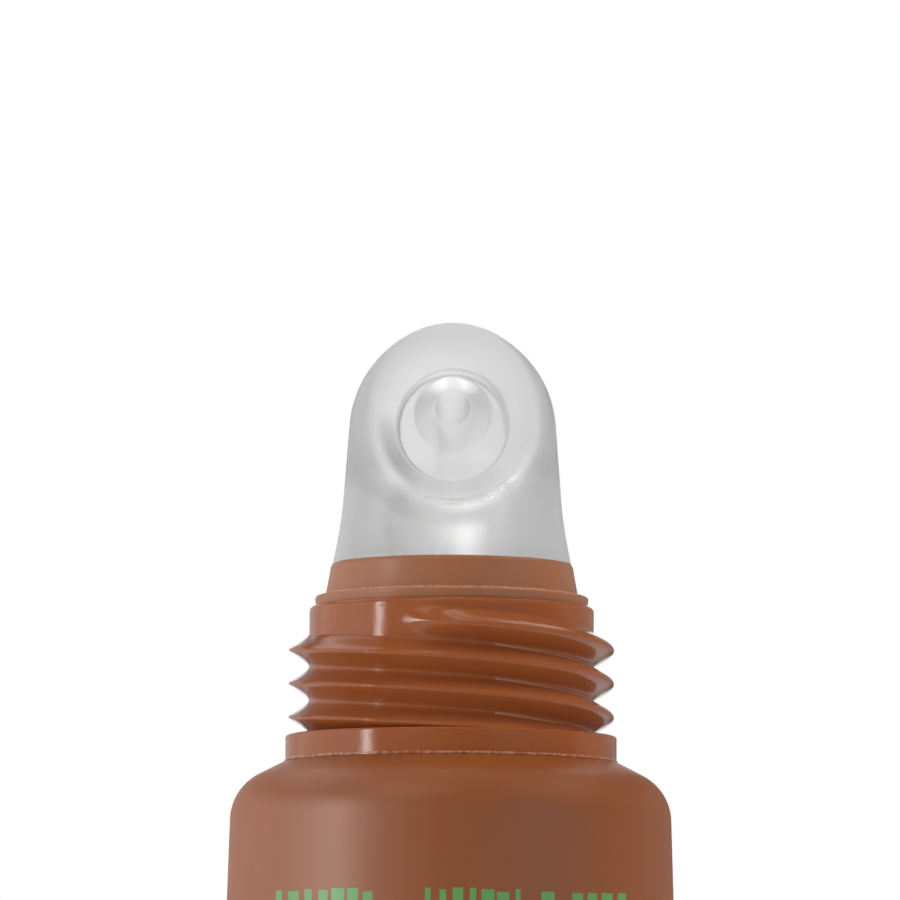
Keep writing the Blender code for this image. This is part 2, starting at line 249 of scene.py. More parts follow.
def add_piece(name, bm, material, node, sharp_angle):
    """Welds a surface into a closed piece that stands for a CAD node and rides on the tube."""
    bmesh.ops.remove_doubles(bm, verts=bm.verts[:], dist=0.0002 * MM)
    bmesh.ops.recalc_face_normals(bm, faces=bm.faces[:])
    mesh = bpy.data.meshes.new(name)
    bm.to_mesh(mesh)
    bm.free()
    mesh.shade_smooth()
    mesh.set_sharp_from_angle(angle=math.radians(sharp_angle))
    mesh.materials.append(material)
    piece = bpy.data.objects.new(name, mesh)
    bpy.context.scene.collection.objects.link(piece)
    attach(piece, "root")
    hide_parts(node)
    return piece


# Sleeve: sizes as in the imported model

BODY_RADIUS = 9.5 * MM
SLEEVE_WALL = 0.45 * MM
SHOULDER_RADIUS = 9.4 * MM
SHOULDER_ANGLE = math.radians(27.0)
SHOULDER_ROUNDING = 2.2 * MM
MOUTH_RADIUS = 7.1 * MM
MOUTH_LIP = 0.03 * MM
SWELL_LENGTH = 3.3 * MM
CRIMP_HEIGHT = 5.0 * MM
CRIMP_RIDGE_PITCH = 1.25 * MM
CRIMP_RIDGE_DEPTH = 0.07 * MM
BELLY_POWER = 1.5
FLATTEN_POWER = 1.7
SQUARE_SHARE = 0.3
SHOULDER_STEPS = 20
TUBE_SECTIONS = 44
SECTION_CROWDING = 1.35
# Rows of the crimp from its top edge down, as shares of its height
CRIMP_ROW_SHARES = (1.0, 0.985, 0.97, 0.955, 0.94, 0.8, 0.6, 0.4, 0.2, 0.08, 0.065, 0.05, 0.03, 0.0)
# Where the ridges rise and fall away, as shares of the crimp's height and of its half width
RIDGE_RISE_SHARES = (0.03, 0.08)
RIDGE_FALL_SHARES = (0.93, 0.985)
RIDGE_SIDE_SHARES = (0.93, 0.96)


def shoulder_outline(inset, inner_radius):
    """Cone from the mouth out to the rounded shoulder, as (radius, height over the sleeve's top)."""
    corner_height = -(SHOULDER_RADIUS - MOUTH_RADIUS) * math.tan(SHOULDER_ANGLE)
    centre_radius = SHOULDER_RADIUS - SHOULDER_ROUNDING
    top_turn = math.pi / 2 - SHOULDER_ANGLE
    centre_height = corner_height - SHOULDER_ROUNDING * math.tan(top_turn / 2)
    outline = []
    for step in range(SHOULDER_STEPS + 1):
        turn = top_turn * (1 - step / SHOULDER_STEPS)
        reach = SHOULDER_ROUNDING - inset
        outline.append((centre_radius + reach * math.cos(turn), centre_height + reach * math.sin(turn)))
    cone_radius, cone_height = outline[0]
    inner_height = cone_height + (cone_radius - inner_radius) * math.tan(SHOULDER_ANGLE)
    return [(inner_radius, inner_height)] + outline


def raised(outline, lift):
    return [(radius, height + lift) for radius, height in outline]


def flattened_width(half_thickness):
    """Half width of the tube where it is pressed to this half thickness."""
    flat_share = (half_thickness / BODY_RADIUS) ** FLATTEN_POWER
    return BODY_RADIUS * (math.pi / 2 - (math.pi / 2 - 1) * flat_share)


def flat_ring(half_width, half_thickness, height, squareness):
    """Oval ring that turns into a rectangle as squareness goes from 0 to 1."""
    row = []
    widen = mix(1.0, 1 / math.cos(math.pi / COLUMNS), squareness)
    for turn in turn_angles():
        bulge = mix(math.sin(turn), math.copysign(1.0, math.sin(turn)), squareness)
        row.append(Vector((half_width * math.cos(turn) * widen, half_thickness * bulge, height)))
    return row


def tube_section(share, inset, round_height):
    height = mix(CRIMP_HEIGHT, round_height, share)
    half_thickness = mix(SLEEVE_WALL, BODY_RADIUS, 1 - (1 - share) ** BELLY_POWER)
    squareness = max(0.0, 1 - share / SQUARE_SHARE) ** 2
    return flat_ring(flattened_width(half_thickness) - inset, half_thickness - inset, height, squareness)


def crimp_rows():
    """The pressed tail with its fine upright ridges, from its top edge down to its cut end."""
    width = flattened_width(SLEEVE_WALL)
    rows = []
    for share in CRIMP_ROW_SHARES:
        pressed = smooth(*RIDGE_RISE_SHARES, share) * (1 - smooth(*RIDGE_FALL_SHARES, share))
        row = flat_ring(width, SLEEVE_WALL, share * CRIMP_HEIGHT, 1.0)
        for point in row:
            ridge = 0.5 - 0.5 * math.cos(FULL_TURN * point.x / CRIMP_RIDGE_PITCH)
            inside = 1 - smooth(*RIDGE_SIDE_SHARES, abs(point.x) / width)
            point.y -= math.copysign(CRIMP_RIDGE_DEPTH * ridge * pressed * inside, point.y)
        rows.append(row)
    return rows


def sleeve(material):
    shares = [(step / TUBE_SECTIONS) ** SECTION_CROWDING for step in range(1, TUBE_SECTIONS + 1)]
    outer = raised(shoulder_outline(0.0, MOUTH_RADIUS)[1:], SLEEVE_TOP)
    inner = raised(shoulder_outline(SLEEVE_WALL, MOUTH_RADIUS), SLEEVE_TOP)
    lips = rounded([inner[0], (MOUTH_RADIUS, SLEEVE_TOP), outer[0]], [MOUTH_LIP], 5)[1:-1]
    round_height = outer[-1][1] - SWELL_LENGTH
    cavity = [tube_section(share, SLEEVE_WALL, round_height) for share in shares]
    outside = [tube_section(share, 0.0, round_height) for share in reversed(shares)]
    rows = cavity + turned(inner[::-1] + lips + outer) + outside + crimp_rows()
    bm = bmesh.new()
    add_skin(bm, rows)
    add_cap(bm, rows[0])
    add_cap(bm, rows[-1])
    return add_piece("sleeve_skin", bm, material, "tube_sleeve", 40.0)


# Neck and thread

NECK_RADIUS = 6.08 * MM
BORE_RADIUS = 4.75 * MM
COLLAR_RADIUS = 7.07 * MM
COLLAR_BOTTOM = SLEEVE_TOP + 0.05 * MM
COLLAR_TOP = COLLAR_BOTTOM + 1.06 * MM
COLLAR_ROUNDING = 0.09 * MM
PARTING_FIN = 0.04 * MM
FIN_HEIGHT = 0.06 * MM
FIN_END = 0.10 * MM
FIN_EDGE = 0.01 * MM
FIN_ROUNDING = 0.03 * MM
WELD_GAP = 0.1 * MM
SEAT_GAP = 0.004 * MM
HEAD_WALL = 0.9 * MM
SKIRT_LENGTH = 3.0 * MM
THREAD_STARTS = 2
CREST_SPACING = 1.435 * MM
THREAD_DEPTH = 0.87 * MM
THREAD_START_DROP = 0.936 * MM
THREAD_START_AZIMUTH = math.radians(-113.0)
THREAD_FADE_ANGLE = math.radians(32.0)
RIM_EDGE = 0.24 * MM
RIM_ROUNDING = 0.20 * MM
BORE_ROUNDING = 0.1 * MM
# Distance from a crest as a share of half the spacing, and height there as a share of the depth
SHARP_SHARES = ((0.0, 1.0), (0.05, 0.985), (0.12, 0.92), (0.22, 0.80), (0.40, 0.56), (0.60, 0.32),
                (0.75, 0.155), (0.86, 0.06), (0.94, 0.015), (1.0, 0.0))
ROUND_SHARES = ((0.0, 1.0), (0.08, 0.985), (0.18, 0.93), (0.30, 0.82), (0.45, 0.61), (0.60, 0.385),
                (0.75, 0.17), (0.86, 0.05), (0.94, 0.01), (1.0, 0.0))


def table_height(table, distance):
    for (near, near_height), (far, far_height) in zip(table, table[1:]):
        if distance <= far:
            return mix(near_height, far_height, (distance - near) / (far - near))
    return 0.0


def thread_height(turn, drop):
    """Height of the thread over the neck; its crests are sharper on the left than on the right."""
    lead_share = (turn - THREAD_START_AZIMUTH) / FULL_TURN
    crests_below = drop / CREST_SPACING - THREAD_STARTS * lead_share
    crest = round(crests_below)
    travel = (lead_share + crest / THREAD_STARTS) * FULL_TURN
    growth = smooth(0.0, THREAD_FADE_ANGLE, travel)
    distance = abs(crests_below - crest) * 2
    roundness = 0.5 + 0.5 * math.cos(turn)
    height = mix(table_height(SHARP_SHARES, distance), table_height(ROUND_SHARES, distance), roundness)
    return THREAD_DEPTH * height * growth


def thread_rows():
    """Rows that follow the crests and roots down the neck, cut off level at the rim and at the collar."""
    start_height = RIM_TOP - THREAD_START_DROP
    top = RIM_TOP - RIM_EDGE
    nears = [near / 2 for near, _ in SHARP_SHARES]
    phases = nears + [1 - near for near in nears[-2:0:-1]]
    turns = [FULL_TURN * (column + 0.5) / COLUMNS for column in range(COLUMNS + 1)]
    most_ahead = THREAD_STARTS * (turns[-1] - THREAD_START_AZIMUTH) / FULL_TURN
    first_crest = math.floor((start_height - top) / CREST_SPACING - most_ahead)
    last_crest = math.ceil((start_height - COLLAR_TOP) / CREST_SPACING)
    rows = []
    for crest in range(first_crest, last_crest + 1):
        for phase in phases:
            row = []
            for turn in turns:
                ahead = THREAD_STARTS * (turn - THREAD_START_AZIMUTH) / FULL_TURN
                level = start_height - (crest + phase + ahead) * CREST_SPACING
                height = min(max(level, COLLAR_TOP), top)
                radius = NECK_RADIUS + thread_height(turn, start_height - height)
                row.append(Vector((radius * math.cos(turn), radius * math.sin(turn), height)))
            rows.append(row)
    return rows


def collar_outline(root_radius):
    """Collar from its seat on the sleeve up to the neck, with the thin moulding fin round its foot."""
    seat = SLEEVE_TOP - SEAT_GAP
    fin = COLLAR_RADIUS + PARTING_FIN
    outline = [(root_radius, seat), (fin, seat), (fin, seat + FIN_HEIGHT), (COLLAR_RADIUS, seat + FIN_END),
               (COLLAR_RADIUS, COLLAR_TOP), (NECK_RADIUS, COLLAR_TOP)]
    return rounded(outline, [FIN_EDGE, FIN_EDGE, FIN_ROUNDING, COLLAR_ROUNDING], 5)


def neck(material):
    outer_inset = SLEEVE_WALL + WELD_GAP
    root_radius = MOUTH_RADIUS - WELD_GAP
    outer = raised(shoulder_outline(outer_inset, root_radius), SLEEVE_TOP)
    inner = raised(shoulder_outline(outer_inset + HEAD_WALL, BORE_RADIUS), SLEEVE_TOP)
    rim = [(NECK_RADIUS, RIM_TOP - RIM_EDGE), (NECK_RADIUS, RIM_TOP), (BORE_RADIUS, RIM_TOP), inner[0]]
    rim = rounded(rim, [RIM_ROUNDING, BORE_ROUNDING])
    skirt_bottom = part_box("threaded_neck")[0].z
    swell = (BODY_RADIUS - SHOULDER_RADIUS) * SKIRT_LENGTH / SWELL_LENGTH
    skirt = [(inner[-1][0], skirt_bottom), (outer[-1][0] + swell, skirt_bottom)]
    outline = rim + inner[1:] + skirt + outer[::-1] + collar_outline(root_radius)[:-1]
    threads = thread_rows()
    bm = bmesh.new()
    add_skin(bm, turned(outline) + [threads[-1][:COLUMNS]])
    add_skin(bm, threads, wrap=False)
    return add_piece("neck_thread", bm, material, "threaded_neck", 50.0)


# Band, bead and plug under the applicator

TIP_FOOT_RADIUS = 5.10 * MM
BEAD_RADIUS = 5.84 * MM
BEAD_HEIGHT = 0.40 * MM
BAND_HEIGHT = 1.38 * MM
BEAD_SIDE_FOOT = 0.26 * MM
BEAD_TAPER = 0.05 * MM
# Band from its top down, as (radius, drop) in millimetres
BAND_OUTLINE = ((5.11, 0.0), (5.185, 0.13), (5.235, 0.47), (5.325, 0.94), (5.41, 1.38))
# Roundings of the corners from the band's top edge down to the bead's foot, in millimetres
BASE_ROUNDINGS = (0.02, 0.05, 0.1, 0.1, 0.09, 0.12, 0.05, 0.02)
SEAT_STEP = 0.05 * MM
BASE_PLACE = RIM_TOP + SEAT_STEP
BAND_TOP = BASE_PLACE + BEAD_HEIGHT + BAND_HEIGHT
PLUG_RADIUS = 4.65 * MM
PLUG_LENGTH = 4.6 * MM
PLUG_WALL = 0.9 * MM
PLUG_CHAMFER = 0.35 * MM
SOCKET_GAP = 0.1 * MM
LEDGE_THICKNESS = 1.0 * MM
STEM_RADIUS = 3.7 * MM
STEM_LENGTH = 3.0 * MM
FEED_BORE_RADIUS = 2.5 * MM


def base(material):
    socket_floor = BAND_TOP - STEM_LENGTH
    ledge = socket_floor - LEDGE_THICKNESS
    plug_end = BASE_PLACE - PLUG_LENGTH
    plug_bore = PLUG_RADIUS - PLUG_WALL
    socket_radius = STEM_RADIUS + SOCKET_GAP
    foot = RIM_TOP - SEAT_GAP
    band = [(radius * MM, BAND_TOP - drop * MM) for radius, drop in BAND_OUTLINE]
    outline = [(socket_radius, BAND_TOP)] + band + [
        (BEAD_RADIUS, BASE_PLACE + BEAD_HEIGHT),
        (BEAD_RADIUS, BASE_PLACE + BEAD_SIDE_FOOT),
        (BEAD_RADIUS - BEAD_TAPER, foot),
        (PLUG_RADIUS, foot),
        (PLUG_RADIUS, plug_end + PLUG_CHAMFER),
        (PLUG_RADIUS - PLUG_CHAMFER, plug_end),
        (plug_bore, plug_end),
        (plug_bore, ledge),
        (FEED_BORE_RADIUS, ledge),
        (FEED_BORE_RADIUS, socket_floor),
        (socket_radius, socket_floor),
        (socket_radius, BAND_TOP),
    ]
    radii = [radius * MM for radius in BASE_ROUNDINGS]
    radii += [0.0] * (len(outline) - 2 - len(radii))
    bm = bmesh.new()
    add_skin(bm, turned(rounded(outline, radii)))
    return add_piece("band_and_bead", bm, material, "tip_base", 40.0)


# Applicator, heights above its foot

TIP_PLACE = BAND_TOP + SEAT_STEP
TIP_SINK = 0.04 * MM
WALL_STEPS = 12
FLARE_WIDTH = 0.23 * MM
FLARE_HEIGHT = 2.87 * MM
TIP_DRAFT = math.radians(4.3)
FRONT_WALL_HEIGHT = 1.64 * MM
SLANT_ANGLE = math.radians(48.0)
SETBACK_FRONT = 0.44 * MM
SETBACK_SIDE = 0.85 * MM
SETBACK_BACK = 0.58 * MM
RECESS_RADIUS = 2.34 * MM
RECESS_CENTRE = -0.91 * MM
CUP_RADIUS = 1.62 * MM
CUP_CENTRE = -0.25 * MM
CUP_STEPS = 12
ORIFICE_RADIUS = 0.745 * MM
ORIFICE_CENTRE = 0.595 * MM
FEED_BORE_HEIGHT = 2.87 * MM
FEED_END_RADIUS = 2.3 * MM
FEED_EDGE = 0.3 * MM
# Lip of the recess as (distance outside its radius, depth), and its wall as (distance, depth at the
# back, depth at the front), in millimetres
RECESS_LIP = ((0.16, 0.0), (0.10, 0.01), (0.06, 0.035))
RECESS_WALL = ((0.03, 0.10, 0.06), (0.0, 0.18, 0.10), (-0.05, 0.21, 0.125))
# Floor between recess and cup, and the cup down to the orifice
FLOOR_STEPS = 4
FLOOR_INSET = 0.06 * MM
CUP_LIP = 0.02 * MM
FLOOR_BACK_DEPTH = 0.23 * MM
FLOOR_FRONT_DEPTHS = (0.14 * MM, 0.24 * MM)
CUP_DEPTHS = (0.28 * MM, 0.79 * MM)


def cone_radius(height):
    return TIP_FOOT_RADIUS - FLARE_WIDTH - height * math.tan(TIP_DRAFT)


def with_flare(radius, height):
    share = max(0.0, 1 - height / FLARE_HEIGHT)
    return radius + FLARE_WIDTH * share * share


def slant_height(y):
    return FRONT_WALL_HEIGHT + (cone_radius(FRONT_WALL_HEIGHT) + y) * math.tan(SLANT_ANGLE)


def tip_edge(turn, steps=16):
    """Rounded edge at one azimuth, from the wall up and over onto the slanted face, as (radius, height)."""
    rise = math.sin(turn) * math.tan(SLANT_ANGLE)
    draft = math.tan(TIP_DRAFT)
    corner_radius = cone_radius(slant_height(0.0)) / (1 + draft * rise)
    corner = Vector((corner_radius, slant_height(corner_radius * math.sin(turn))))
    toward_face = Vector((-1.0, -rise)).normalized()
    toward_foot = Vector((draft, -1.0)).normalized()
    end_setback = SETBACK_BACK if math.sin(turn) > 0 else SETBACK_FRONT
    reach = mix(SETBACK_SIDE, end_setback, math.sin(turn) ** 2) * math.hypot(1.0, rise)
    half = toward_face.angle(toward_foot) / 2
    middle = corner + (toward_face + toward_foot).normalized() * (reach / math.cos(half))
    first = corner + toward_foot * reach - middle
    last = corner + toward_face * reach - middle
    sweep = math.atan2(first.x * last.y - first.y * last.x, first.dot(last))
    return [middle + Matrix.Rotation(sweep * step / steps, 2) @ first for step in range(steps + 1)]


def face_ring(radius, centre_y, depth_back, depth_front):
    """Circle seen from above, sunk below the slanted plane by a depth that changes from back to front."""
    row = []
    for turn in turn_angles():
        y = centre_y + radius * math.sin(turn)
        depth = mix(depth_front, depth_back, (1 + math.sin(turn)) / 2)
        row.append(Vector((radius * math.cos(turn), y, slant_height(y) - depth)))
    return row


def tip_face():
    """Rings from the recess's lip in over its floor and down the cup to the orifice."""
    rows = []
    for outside, depth in RECESS_LIP:
        rows.append(face_ring(RECESS_RADIUS + outside * MM, RECESS_CENTRE, depth * MM, depth * MM))
    for outside, back, front in RECESS_WALL:
        rows.append(face_ring(RECESS_RADIUS + outside * MM, RECESS_CENTRE, back * MM, front * MM))
    for step in range(FLOOR_STEPS + 1):
        share = step / FLOOR_STEPS
        radius = mix(RECESS_RADIUS - FLOOR_INSET, CUP_RADIUS + CUP_LIP, share)
        centre = mix(RECESS_CENTRE, CUP_CENTRE, share)
        rows.append(face_ring(radius, centre, FLOOR_BACK_DEPTH, mix(*FLOOR_FRONT_DEPTHS, share)))
    for step in range(CUP_STEPS + 1):
        share = step / CUP_STEPS
        radius = mix(CUP_RADIUS, ORIFICE_RADIUS, share)
        centre = mix(CUP_CENTRE, ORIFICE_CENTRE, share)
        depth = mix(*CUP_DEPTHS, math.sin(share * math.pi / 2))
        rows.append(face_ring(radius, centre, depth, depth))
    return rows


def tip_outside():
    """Rings from the flared foot up the wall and over the rounded edge."""
    foot = -TIP_SINK
    profiles = []
    for turn in turn_angles():
        edge = tip_edge(turn)
        heights = [mix(foot, edge[0].y, step / WALL_STEPS) for step in range(WALL_STEPS)]
        wall = [(cone_radius(height), height) for height in heights]
        profiles.append(wall + [tuple(point) for point in edge])
    rows = []
    for ring in zip(*profiles):
        row = []
        for turn, (radius, height) in zip(turn_angles(), ring):
            flared = with_flare(radius, height)
            row.append(Vector((flared * math.cos(turn), flared * math.sin(turn), height)))
        rows.append(row)
    return rows


def applicator(material):
    outside = tip_outside()
    stem = [(ORIFICE_RADIUS, FEED_BORE_HEIGHT), (FEED_END_RADIUS, FEED_BORE_HEIGHT),
            (FEED_BORE_RADIUS, 0.0), (FEED_BORE_RADIUS, -STEM_LENGTH), (STEM_RADIUS, -STEM_LENGTH),
            (STEM_RADIUS, -TIP_SINK)]
    stem = rounded(stem, [FEED_EDGE, 0.0, 0.0, 0.0], 5)[1:]
    channel = circle(ORIFICE_RADIUS, FEED_BORE_HEIGHT, ORIFICE_CENTRE)
    rows = outside + tip_face() + [channel] + turned(stem)
    for row in rows:
        for point in row:
            point.z += TIP_PLACE
    bm = bmesh.new()
    add_skin(bm, rows + outside[:1])
    return add_piece("slanted_tip", bm, material, "applicator_tip", 50.0)


# Finishes, which measure places in millimetres

# Light brown for trim marks at the collar's fin, and for painted highlights along the thread's roots and the
# band's corner
SCUFF_AND_HIGHLIGHT_BROWN = (0.80, 0.50, 0.34)
PRINT_GREEN = (0.115, 0.34, 0.085)
# Grey for painted shade on the applicator, round its recess and toward its sides
PAINTED_SHADE_GREY = (0.16, 0.16, 0.16)

# Printed row: bars in cells of one pitch, each with a width and a top of its own
BAR_PITCH = 0.62
BAR_LEAST_HALF_WIDTH = 0.10
BAR_EXTRA_HALF_WIDTH = 0.19
BAR_GAP_SHARE = 0.3
PRINT_BOTTOM = 52.2
PRINT_TOP = 54.1
PRINT_EXTRA_TOP = 0.25
PRINT_HALF_WIDTH = 7.4
TOP_DRAW_OFFSET = 40.5


def printed_bars(skin):
    """1 on a row of plain upright bars across the front."""
    x, y, z = skin.axes()
    cell = skin.node("Math", {"operation": "FLOOR"}, {0: x / BAR_PITCH})
    width_draw = skin.node("TexWhiteNoise", {"noise_dimensions": "1D"}, {"W": cell})
    top_draw = skin.node("TexWhiteNoise", {"noise_dimensions": "1D"}, {"W": cell + TOP_DRAW_OFFSET})
    across = abs(x - BAR_PITCH * cell - BAR_PITCH / 2)
    narrow = across < BAR_LEAST_HALF_WIDTH + BAR_EXTRA_HALF_WIDTH * width_draw
    tall = (z > PRINT_BOTTOM) * (z < PRINT_TOP + PRINT_EXTRA_TOP * top_draw)
    return narrow * tall * (top_draw > BAR_GAP_SHARE) * (y < 0.0) * (abs(x) < PRINT_HALF_WIDTH)


def sleeve_finish():
    """Satin brown plastic with faint handling waves and a printed row of plain green bars."""
    skin = Finish("satin_brown")
    cloud = skin.grain(6.0 * MM, 3.0, (1.0, 1.0, 2.5))
    fine = skin.grain(0.12 * MM, 2.0)
    brown = skin.blend(cloud, (0.270, 0.068, 0.011), (0.290, 0.076, 0.014))
    return skin.surface_of(
        Base_Color=skin.blend(printed_bars(skin), brown, PRINT_GREEN),
        Roughness=0.40 + 0.06 * fine,
        Normal=skin.bump(cloud, 0.05 * MM, skin.bump(fine, 0.0016 * MM)),
        Specular_IOR_Level=1.0,
    )


# Light lines on the neck: where the moulding fin was trimmed, and a painted highlight along the thread's
# root on the right
PARTING_MIDDLE = SLEEVE_TOP / MM + 0.05
PARTING_FADE = (0.03, 0.09)
ROOT_LEFT_END = (1.78, 1.86)
ROOT_TOP_END = (0.75, 0.9)
ROOT_BOTTOM_END = (4.2, 4.3)
ROOT_FADE_SHARES = (0.015, 0.05)
ROOT_DRIFT = 0.025
ROOT_DRIFT_START = 1.85


def parting_line(skin):
    ragged = skin.grain(0.22 * MM, 4.0, roughness=0.7)
    away = abs(skin.axes()[2] - PARTING_MIDDLE)
    return (1.0 - away.step_up(*PARTING_FADE)) * ragged.step_up(0.42, 0.6)


def root_highlight_lines(skin):
    x, y, z = skin.axes()
    turn = skin.node("Math", {"operation": "ARCTAN2"}, {0: y, 1: x}) / FULL_TURN
    ahead = THREAD_STARTS * (turn - THREAD_START_AZIMUTH / FULL_TURN)
    below = (RIM_TOP - THREAD_START_DROP) / MM - z
    phase = (below / (CREST_SPACING / MM) - ahead - ROOT_DRIFT * (x - ROOT_DRIFT_START)) % 1.0
    line = (1.0 - abs(phase - 0.5).step_up(*ROOT_FADE_SHARES)) * (y < 0.0) * x.step_up(*ROOT_LEFT_END)
    return line * below.step_up(*ROOT_TOP_END) * (1.0 - below.step_up(*ROOT_BOTTOM_END))


def neck_finish():
    """Glossy brown moulded plastic with a fine drag pattern."""
    skin = Finish("gloss_brown")
    cloud = skin.grain(2.5 * MM, 3.0, (1.0, 1.0, 0.5))
    fine = skin.grain(0.10 * MM, 3.0, (1.0, 1.0, 0.6))
    brown = skin.blend(cloud, (0.325, 0.088, 0.024), (0.350, 0.098, 0.030))
    # Trim marks at the collar's fin, and painted highlights along the thread's roots on the right
    marks = 0.42 * parting_line(skin) + 0.30 * root_highlight_lines(skin)
    return skin.surface_of(
        Base_Color=skin.blend(marks, brown, SCUFF_AND_HIGHLIGHT_BROWN),
        Roughness=0.10 + 0.08 * fine,
        Normal=skin.bump(cloud, 0.03 * MM, skin.bump(fine, 0.004 * MM)),
        Specular_IOR_Level=0.5,
    )


# Painted highlight along the corner between the band and its bead
CORNER_MIDDLE = (BASE_PLACE + BEAD_HEIGHT) / MM + 0.02
CORNER_FADE = (0.03, 0.10)


def band_finish():
    """The same plastic as the neck, a little more matt."""
    skin = Finish("matt_brown")
    cloud = skin.grain(2.0 * MM, 3.0)
    fine = skin.grain(0.12 * MM, 3.0)
    brown = skin.blend(cloud, (0.345, 0.130, 0.058), (0.375, 0.144, 0.068))
    ragged = skin.grain(0.25 * MM, 4.0, (1.0, 1.0, 0.6), roughness=0.7)
    away = abs(skin.axes()[2] - CORNER_MIDDLE)
    # Painted highlight: a ragged light line along the corner under the band
    marks = 0.45 * (1.0 - away.step_up(*CORNER_FADE)) * ragged.step_up(0.36, 0.6)
    return skin.surface_of(
        Base_Color=skin.blend(marks, brown, SCUFF_AND_HIGHLIGHT_BROWN),
        Roughness=0.30 + 0.10 * fine,
        Normal=skin.bump(cloud, 0.02 * MM, skin.bump(fine, 0.004 * MM)),
    )


# Painted shade on the slanted face: depths under its plane, and distances from the middle of the recess
FACE_LEVEL = (slant_height(0.0) + TIP_PLACE) / MM
FACE_DEPTHS = (-0.45, -0.3)
CREASE_DEPTHS = (-0.24, -0.14)
CREASE_RADIUS = RECESS_RADIUS / MM - 0.05
CREASE_WAVE = 0.10
CREASE_FADE = (0.015, 0.06)
SHADE_RING_INNER = (2.3, 2.6)
SHADE_RING_OUTER = (2.9, 3.3)
# Shine along the face's lower rim, round a centre of its own, and painted shade that greys the outside of
# the applicator toward its sides
SHINE_RADIUS = 3.52
SHINE_CENTRE = -0.754
SHINE_FADE = (0.04, 0.26)
SIDE_SHADE_REACH = (1.9, 4.1)
SIDE_SHADE_RISE = (2.6, 4.2)
CHANNEL_EDGE = (0.75, 0.85)


def distance_from(x, y, centre):
    """Distance seen from above from a point on the tube's middle plane."""
    ahead = y - centre
    return (x * x + ahead * ahead) ** 0.5


def painted_face_shade(skin, speckle):
    """Painted shade: a ragged dark line along the recess's crease, a darker patch on its left and a faint
    band under it.
    """
    ragged = skin.grain(0.3 * MM, 4.0, roughness=0.7)
    x, y, z = skin.axes()
    out = distance_from(x, y, RECESS_CENTRE / MM)
    right = x / out
    back = (y - RECESS_CENTRE / MM) / out
    above = z - y * math.tan(SLANT_ANGLE) - FACE_LEVEL
    edge = abs(out - CREASE_RADIUS + CREASE_WAVE * (ragged - 0.5))
    crease = (1.0 - edge.step_up(*CREASE_FADE)) * (0.6 * back - 0.8 * right).step_up(-0.45, 0.3)
    crease = crease * speckle.step_up(0.25, 0.6) * above.step_up(*CREASE_DEPTHS)
    ring = out.step_up(*SHADE_RING_INNER) * (1.0 - out.step_up(*SHADE_RING_OUTER))
    left_shade = ring * (-0.45 * back - 0.9 * right).step_up(0.78, 1.0)
    shade = ring * (-1.0 * back - 0.35 * right).step_up(0.3, 0.9)
    return above.step_up(*FACE_DEPTHS) * (0.9 * crease + (0.25 + 0.4 * speckle) * left_shade + 0.22 * shade)


def rim_shine(x, y):
    """1 along the worn lower rim of the slanted face."""
    reach = distance_from(x, y, SHINE_CENTRE)
    front = (SHINE_CENTRE - y) / reach + 0.25 * x / reach
    return (1.0 - abs(reach - SHINE_RADIUS).step_up(*SHINE_FADE)) * front.step_up(0.68, 0.97)


def tip_finish():
    """Frosted, slightly translucent soft plastic with painted shade round the recess and toward its sides,
    and worn along the rim.
    """
    skin = Finish("frosted_clear")
    cloud = skin.grain(1.6 * MM, 3.0)
    speckle = skin.grain(0.07 * MM, 2.0, roughness=0.7)
    grit = skin.grain(0.13 * MM, 1.0)
    x, y, z = skin.axes()
    # Painted shade, greyer toward the applicator's sides in its upper part
    side_shade = distance_from(x, y, 0.0).step_up(*SIDE_SHADE_REACH) * (z - TIP_PLACE / MM).step_up(*SIDE_SHADE_RISE)
    grey = skin.blend(cloud, (0.95, 0.95, 0.95), (0.98, 0.98, 0.98))
    shine = rim_shine(x, y)
    channel = 1.0 - distance_from(x, y, ORIFICE_CENTRE / MM).step_up(*CHANNEL_EDGE)
    return skin.surface_of(
        Base_Color=skin.blend(painted_face_shade(skin, speckle) + 0.26 * side_shade, grey, PAINTED_SHADE_GREY),
        Roughness=0.34 + 0.06 * speckle - 0.16 * shine + 0.3 * channel,
        Normal=skin.bump(0.35 * speckle + 3.0 * grit * shine, 0.011 * MM),
        Transmission_Weight=0.75,
        IOR=1.45,
    )


def balm_finish():
    """Soft pale wax with a cloudy surface."""
    skin = Finish("soft_balm")
    cloud = skin.grain(3.0 * MM, 4.0)
    cream = skin.blend(cloud, (0.80, 0.72, 0.56), (0.88, 0.81, 0.66))
    return skin.surface_of(Base_Color=cream, Roughness=0.45 + 0.1 * cloud, Normal=skin.bump(cloud, 0.1 * MM))


# Studio

FLOOR_HALF_SIZE = 420.0 * MM
FLOOR_DROP = 0.02 * MM
# Distances from the tube, in millimetres, between which the floor fades out
FLOOR_FADE = (100.0, 400.0)
WORLD_LIGHT = 0.08
LAMP_DISTANCE = 0.6
